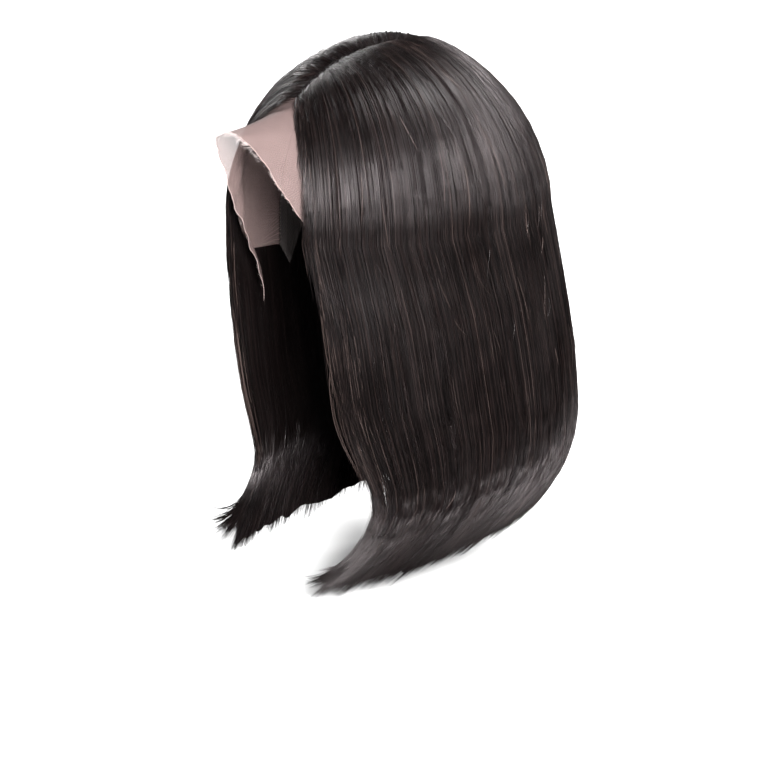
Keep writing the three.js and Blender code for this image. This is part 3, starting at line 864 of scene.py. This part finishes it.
def makeLace():
    rows, columns = lace["seatedRows"] + lace["freeRows"], lace["columns"]
    i, j = np.meshgrid(np.arange(rows + 1), np.arange(columns + 1), indexing="ij")
    turn = mix(lace["seamTurn"], -lace["seamTurn"], j / columns).astype(float)
    seated = np.minimum(i / lace["seatedRows"], 1)
    free = np.maximum(i - lace["seatedRows"], 0) / lace["freeRows"]
    leaving = np.broadcast_to(leavingWay(turn[0]), (*turn.shape, 3))
    points = onCap(slide(seamWay(turn), leaving, seated), np.full(turn.shape, lace["lift"]))
    share = np.arange(columns + 1) / columns
    edge = rowsAt(laceEdge, share) * [cap["width"] / 2, -cap["depth"] / 2, -cap["crownDepth"]]
    rng = np.random.default_rng(7)
    edge = np.broadcast_to(edge, points.shape)
    inward = unit(capCentre - edge)
    bend = lace["sag"] * np.sin(math.pi * free)
    # The free part ripples along its edge, and the edge is cut unevenly
    ripple = lace["ripple"] * free**1.5 * (np.sin(share * 41) + 0.6 * np.sin(share * 97 + 1))[None]
    fray = lace["fray"] * rng.uniform(-1, 0.4, columns + 1)[None] * (free > 0.97)
    out = unit(edge - points + 1e-6)
    points = mix(points, edge, free[..., None]) + inward * (bend + ripple)[..., None] + out * fray[..., None]
    across, down = np.gradient(points, axis=1), np.gradient(points, axis=0)
    normal = unit(np.cross(down, across))
    normal *= np.sign((normal * (points - capCentre)).sum(-1))[..., None]
    half = normal * lace["thick"] / 2
    vertices = np.concatenate([(points + half).reshape(-1, 3), (points - half).reshape(-1, 3)]) / 1000
    faces = facingOut(vertices, shellFaces(*turn.shape))
    walked = np.concatenate([np.zeros((1, columns + 1)), np.linalg.norm(np.diff(points, axis=0), axis=-1).cumsum(0)])
    middle = points[rows // 2]
    around = np.concatenate([[0], np.linalg.norm(np.diff(middle, axis=0), axis=-1).cumsum()])
    uv = np.stack([np.broadcast_to(around, walked.shape), walked], -1).reshape(-1, 2) / 1000
    finish = laceFinish()
    piece = meshPiece("lace_net", vertices, faces, finish, np.concatenate([uv, uv]))
    freeLength = np.linalg.norm(edge[0] - points[lace["seatedRows"]], axis=-1)
    toEdge = (1 - free).ravel() * np.repeat(freeLength[None], rows + 1, 0).ravel()
    layer = piece.data.attributes.new("toEdge", "FLOAT", "POINT")
    layer.data.foreach_set("value", np.concatenate([toEdge, toEdge]).astype(np.float32))
    frayedThreads(edge[0], unit(points[-1] - points[-3]), normal[-1], share)
    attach(piece, "root")
    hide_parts("lace_front")
    return piece


threads = {"count": 150, "copies": 3, "longest": 6, "thickness": 0.05}


def frayedThreads(edge, away, normal, share):
    # Cut ends of the net along its edge, longest at the front tip
    rng = np.random.default_rng(12)
    count = threads["count"]
    place = np.where(rng.uniform(0, 1, count) < 0.55, rng.normal(0.46, 0.06, count), rng.uniform(0.02, 0.98, count))
    length = threads["longest"] * rng.uniform(0.15, 1, count) * np.where(abs(place - 0.46) < 0.12, 1, 0.25)
    start, ahead, out = (
        np.stack([np.interp(place, share, rows[:, k]) for k in range(3)], -1) for rows in (edge, away, normal)
    )
    side = unit(np.cross(ahead, out))
    t = np.linspace(0, 1, 6)[None, :, None]
    turn = rng.normal(0, 0.5, (count, 1, 1))
    stray = 0.4 * rng.normal(0, 1, (count, 1, 1))
    heading = ahead[:, None] + turn * t * side[:, None] + stray * t * out[:, None]
    points = start[:, None] + (length[:, None, None] * (t - 0.1)) * heading
    guides = Guides()
    across, up = (np.repeat(array[:, None], 6, 1) for array in (side, out))
    guides.put(points, across, up, count=threads["copies"], spread=0.0012, lift=0.0005, wave=0.003, bright=1)
    finish, tree, shader = newMaterial("lace_thread", Roughness=0.7, Specular_IOR_Level=0.2)
    grain = tree.add("ShaderNodeTexNoise", Vector=tree.add("ShaderNodeTexCoord").outputs["Object"], Scale=400.0).outputs[0]
    tree.put(shader, "Base Color", tree.tint(grain, (0.2, 0.17, 0.165, 1), (0.34, 0.3, 0.29, 1)))
    guides.make("lace_threads", threads["thickness"], 40, finish)


netCells = {"feature": "DISTANCE_TO_EDGE", "voronoi_dimensions": "2D"}


def laceFinish():
    material, tree, shader = newMaterial("lace_net", Roughness=0.8, Specular_IOR_Level=0.2)
    uv = tree.add("ShaderNodeUVMap", {"uv_map": "UVMap"}).outputs[0]
    cells = tree.add("ShaderNodeTexVoronoi", netCells, Vector=uv, Scale=900.0, Randomness=0.35)
    fromThread = tree.math("MULTIPLY", cells.outputs["Distance"], 5.0)
    thread = tree.math("SUBTRACT", 1.0, tree.math("SMOOTH_MIN", fromThread, 1.0, 0.1))
    cloud = tree.add("ShaderNodeTexNoise", Vector=uv, Scale=55.0, Detail=2.0).outputs[0]
    toEdge = tree.add("ShaderNodeAttribute", {"attribute_name": "toEdge"}).outputs["Fac"]
    band = tree.math("SUBTRACT", 1.0, tree.math("MINIMUM", tree.math("DIVIDE", toEdge, 0.9), 1.0))
    skin = tree.tint(cloud, (0.075, 0.05, 0.047, 1), (0.11, 0.077, 0.073, 1))
    skin = tree.tint(tree.math("MULTIPLY", thread, 0.35), skin, (0.17, 0.125, 0.118, 1))
    skin = tree.tint(tree.math("MULTIPLY", band, 0.6), skin, (0.27, 0.21, 0.2, 1))
    tree.put(shader, "Base Color", skin)
    cover = tree.math("ADD", 0.42, tree.math("MULTIPLY", thread, 0.4))
    cover = tree.math("MINIMUM", tree.math("ADD", cover, tree.math("MULTIPLY", band, 0.35)), 1.0)
    tree.put(shader, "Alpha", cover)
    bump = tree.add("ShaderNodeBump", Strength=0.3, Distance=0.0002, Height=thread)
    tree.put(shader, "Normal", bump.outputs[0])
    return material


makeLace()
print("lace made")


# Cap: dark stretch net with rows of sewn wefts
netCap = {"rows": 34, "columns": 84, "wall": 1.1, "weftPitch": 11, "weftRise": 0.5}
capRim = np.array([
    (-9, 0.44), (4, 0.12), (26, 0.16), (50, 0.46), (90, 0.6), (130, 0.46), (154, 0.16), (176, 0.12), (189, 0.44),
])


def rimWay(share):
    turn, drop = np.moveaxis(rowsAt(capRim, share), -1, 0)
    down = drop * cap["crownDepth"]
    shrink = np.sqrt(1 - (down / cap["napeTaper"]) ** 2)
    angle = np.radians(turn)
    return unit(np.stack([np.cos(angle) * cap["width"] * shrink / 2, np.sin(angle) * cap["depth"] * shrink / 2, -down], -1))


def makeCap():
    i, j = np.meshgrid(np.arange(netCap["rows"] + 1), np.arange(netCap["columns"] + 1), indexing="ij")
    share = j / netCap["columns"]
    seam = mix(lace["seamTurn"], -lace["seamTurn"], share)
    reach = mix(lace["seamAtTop"], lace["seamAtEnds"], ease(np.abs(seam), 0, lace["seamTurn"])) - 0.5 / (cap["depth"] / 2)
    way = slide(archWay(seam, reach), rimWay(share), i / netCap["rows"])
    inner = onCap(way, np.full(seam.shape, 0.05))
    steps = np.linalg.norm(np.diff(inner, axis=0), axis=-1)
    walked = np.concatenate([np.zeros((1, netCap["columns"] + 1)), steps.cumsum(0)])
    weft = np.maximum(np.cos(2 * math.pi * walked / netCap["weftPitch"]), 0) ** 6 * netCap["weftRise"]
    outer = onCap(way, netCap["wall"] + weft * 0.6)
    inner = onCap(way, 0.05 - weft)
    vertices = np.concatenate([outer.reshape(-1, 3), inner.reshape(-1, 3)]) / 1000
    faces = facingOut(vertices, shellFaces(*seam.shape))
    around = share * 0.45
    uv = np.stack([around, walked / 1000], -1).reshape(-1, 2)
    material, tree, shader = newMaterial("cap_net", Roughness=0.85, Specular_IOR_Level=0.25)
    net = tree.add("ShaderNodeUVMap", {"uv_map": "UVMap"}).outputs[0]
    cells = tree.add("ShaderNodeTexVoronoi", netCells, Vector=net, Scale=520.0, Randomness=0.2)
    thread = tree.math("MINIMUM", tree.math("MULTIPLY", cells.outputs["Distance"], 4.0), 1.0)
    tree.put(shader, "Base Color", tree.tint(thread, (0.05, 0.042, 0.04, 1), (0.014, 0.011, 0.011, 1)))
    bump = tree.add("ShaderNodeBump", Strength=0.5, Distance=0.0004, Height=tree.math("SUBTRACT", 1.0, thread))
    tree.put(shader, "Normal", bump.outputs[0])
    piece = meshPiece("cap_net", vertices, faces, material, np.concatenate([uv, uv]))
    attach(piece, "root")
    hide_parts("cap")
    return piece


makeCap()
print("cap made")

# Floor, light and camera
studio = {
    "floor": -0.352,
    "lights": {
        "key": {"azimuth": 60, "elevation": 20, "distance": 2.2, "size": 0.6, "power": 300},
        "side": {"azimuth": 118, "elevation": 7, "distance": 2.2, "size": 0.6, "power": 24},
        "back": {"azimuth": 165, "elevation": 42, "distance": 2.2, "size": 0.6, "power": 50},
        "fill": {"azimuth": 268, "elevation": 24, "distance": 2.6, "size": 0.9, "power": 120},
    },
    "sun": {"azimuth": 228, "elevation": 72, "strength": 5, "spread": 60},
    "sky": 0.08,
    "floorReach": 40,
    "azimuth": 48.64,
    "elevation": 16.3,
    "distance": 2.4,
    "aim": (-0.0007, -0.0008, -0.2263),
    "focal": 3541.5 / 768 * 36,
}


def direction(facts):
    azimuth, elevation = math.radians(facts["azimuth"]), math.radians(facts["elevation"])
    return Vector((math.sin(azimuth) * math.cos(elevation), -math.cos(azimuth) * math.cos(elevation), math.sin(elevation)))


floorMesh = bpy.data.meshes.new("floor")
floorReach = studio["floorReach"]
corners = [(x * floorReach, y * floorReach, studio["floor"]) for x, y in ((-1, -1), (1, -1), (1, 1), (-1, 1))]
floorMesh.from_pydata(corners, [], [(0, 1, 2, 3)])
floor = bpy.data.objects.new("floor", floorMesh)
bpy.context.scene.collection.objects.link(floor)
floorFinish, tree, shader = newMaterial("floor", Roughness=0.9, Specular_IOR_Level=0.1)
shader.inputs["Base Color"].default_value = (0.5, 0.5, 0.5, 1)
floorMesh.materials.append(floorFinish)
floor.visible_glossy = False  # a white floor would grey the dark hair

bpy.context.scene.view_settings.view_transform = "Standard"
world = bpy.data.worlds.new("studio")
bpy.context.scene.world = world
world.use_nodes = True
background = world.node_tree.nodes["Background"]
background.inputs[0].default_value = (1, 1, 1, 1)
# The sky lights dimly and shows pale
seen = world.node_tree.nodes.new("ShaderNodeLightPath")
pale = world.node_tree.nodes.new("ShaderNodeMapRange")
pale.inputs["To Min"].default_value = studio["sky"]
pale.inputs["To Max"].default_value = 1
world.node_tree.links.new(seen.outputs["Is Camera Ray"], pale.inputs["Value"])
world.node_tree.links.new(pale.outputs[0], background.inputs[1])

sun = bpy.data.lights.new("sun", "SUN")
sun.energy = studio["sun"]["strength"]
sun.angle = math.radians(studio["sun"]["spread"])
overhead = bpy.data.objects.new("sun", sun)
overhead.rotation_euler = direction(studio["sun"]).to_track_quat("Z", "Y").to_euler()
overhead.visible_glossy = False
bpy.context.scene.collection.objects.link(overhead)
middle = Vector((0, 0, -0.15))
for label, facts in studio["lights"].items():
    lamp = bpy.data.lights.new(label, "AREA")
    lamp.shape = "SQUARE"
    lamp.size = facts["size"]
    lamp.energy = facts["power"]
    light = bpy.data.objects.new(label, lamp)
    light.location = middle + direction(facts) * facts["distance"]
    light.rotation_euler = direction(facts).to_track_quat("Z", "Y").to_euler()
    bpy.context.scene.collection.objects.link(light)

lens = bpy.data.cameras.new("camera")
lens.sensor_width = 36
lens.lens = studio["focal"]
lens.clip_end = 50
camera = bpy.data.objects.new("camera", lens)
camera.location = Vector(studio["aim"]) + direction(studio) * studio["distance"]
camera.rotation_euler = direction(studio).to_track_quat("Z", "Y").to_euler()
bpy.context.scene.collection.objects.link(camera)
bpy.context.scene.camera = camera
print("studio made")
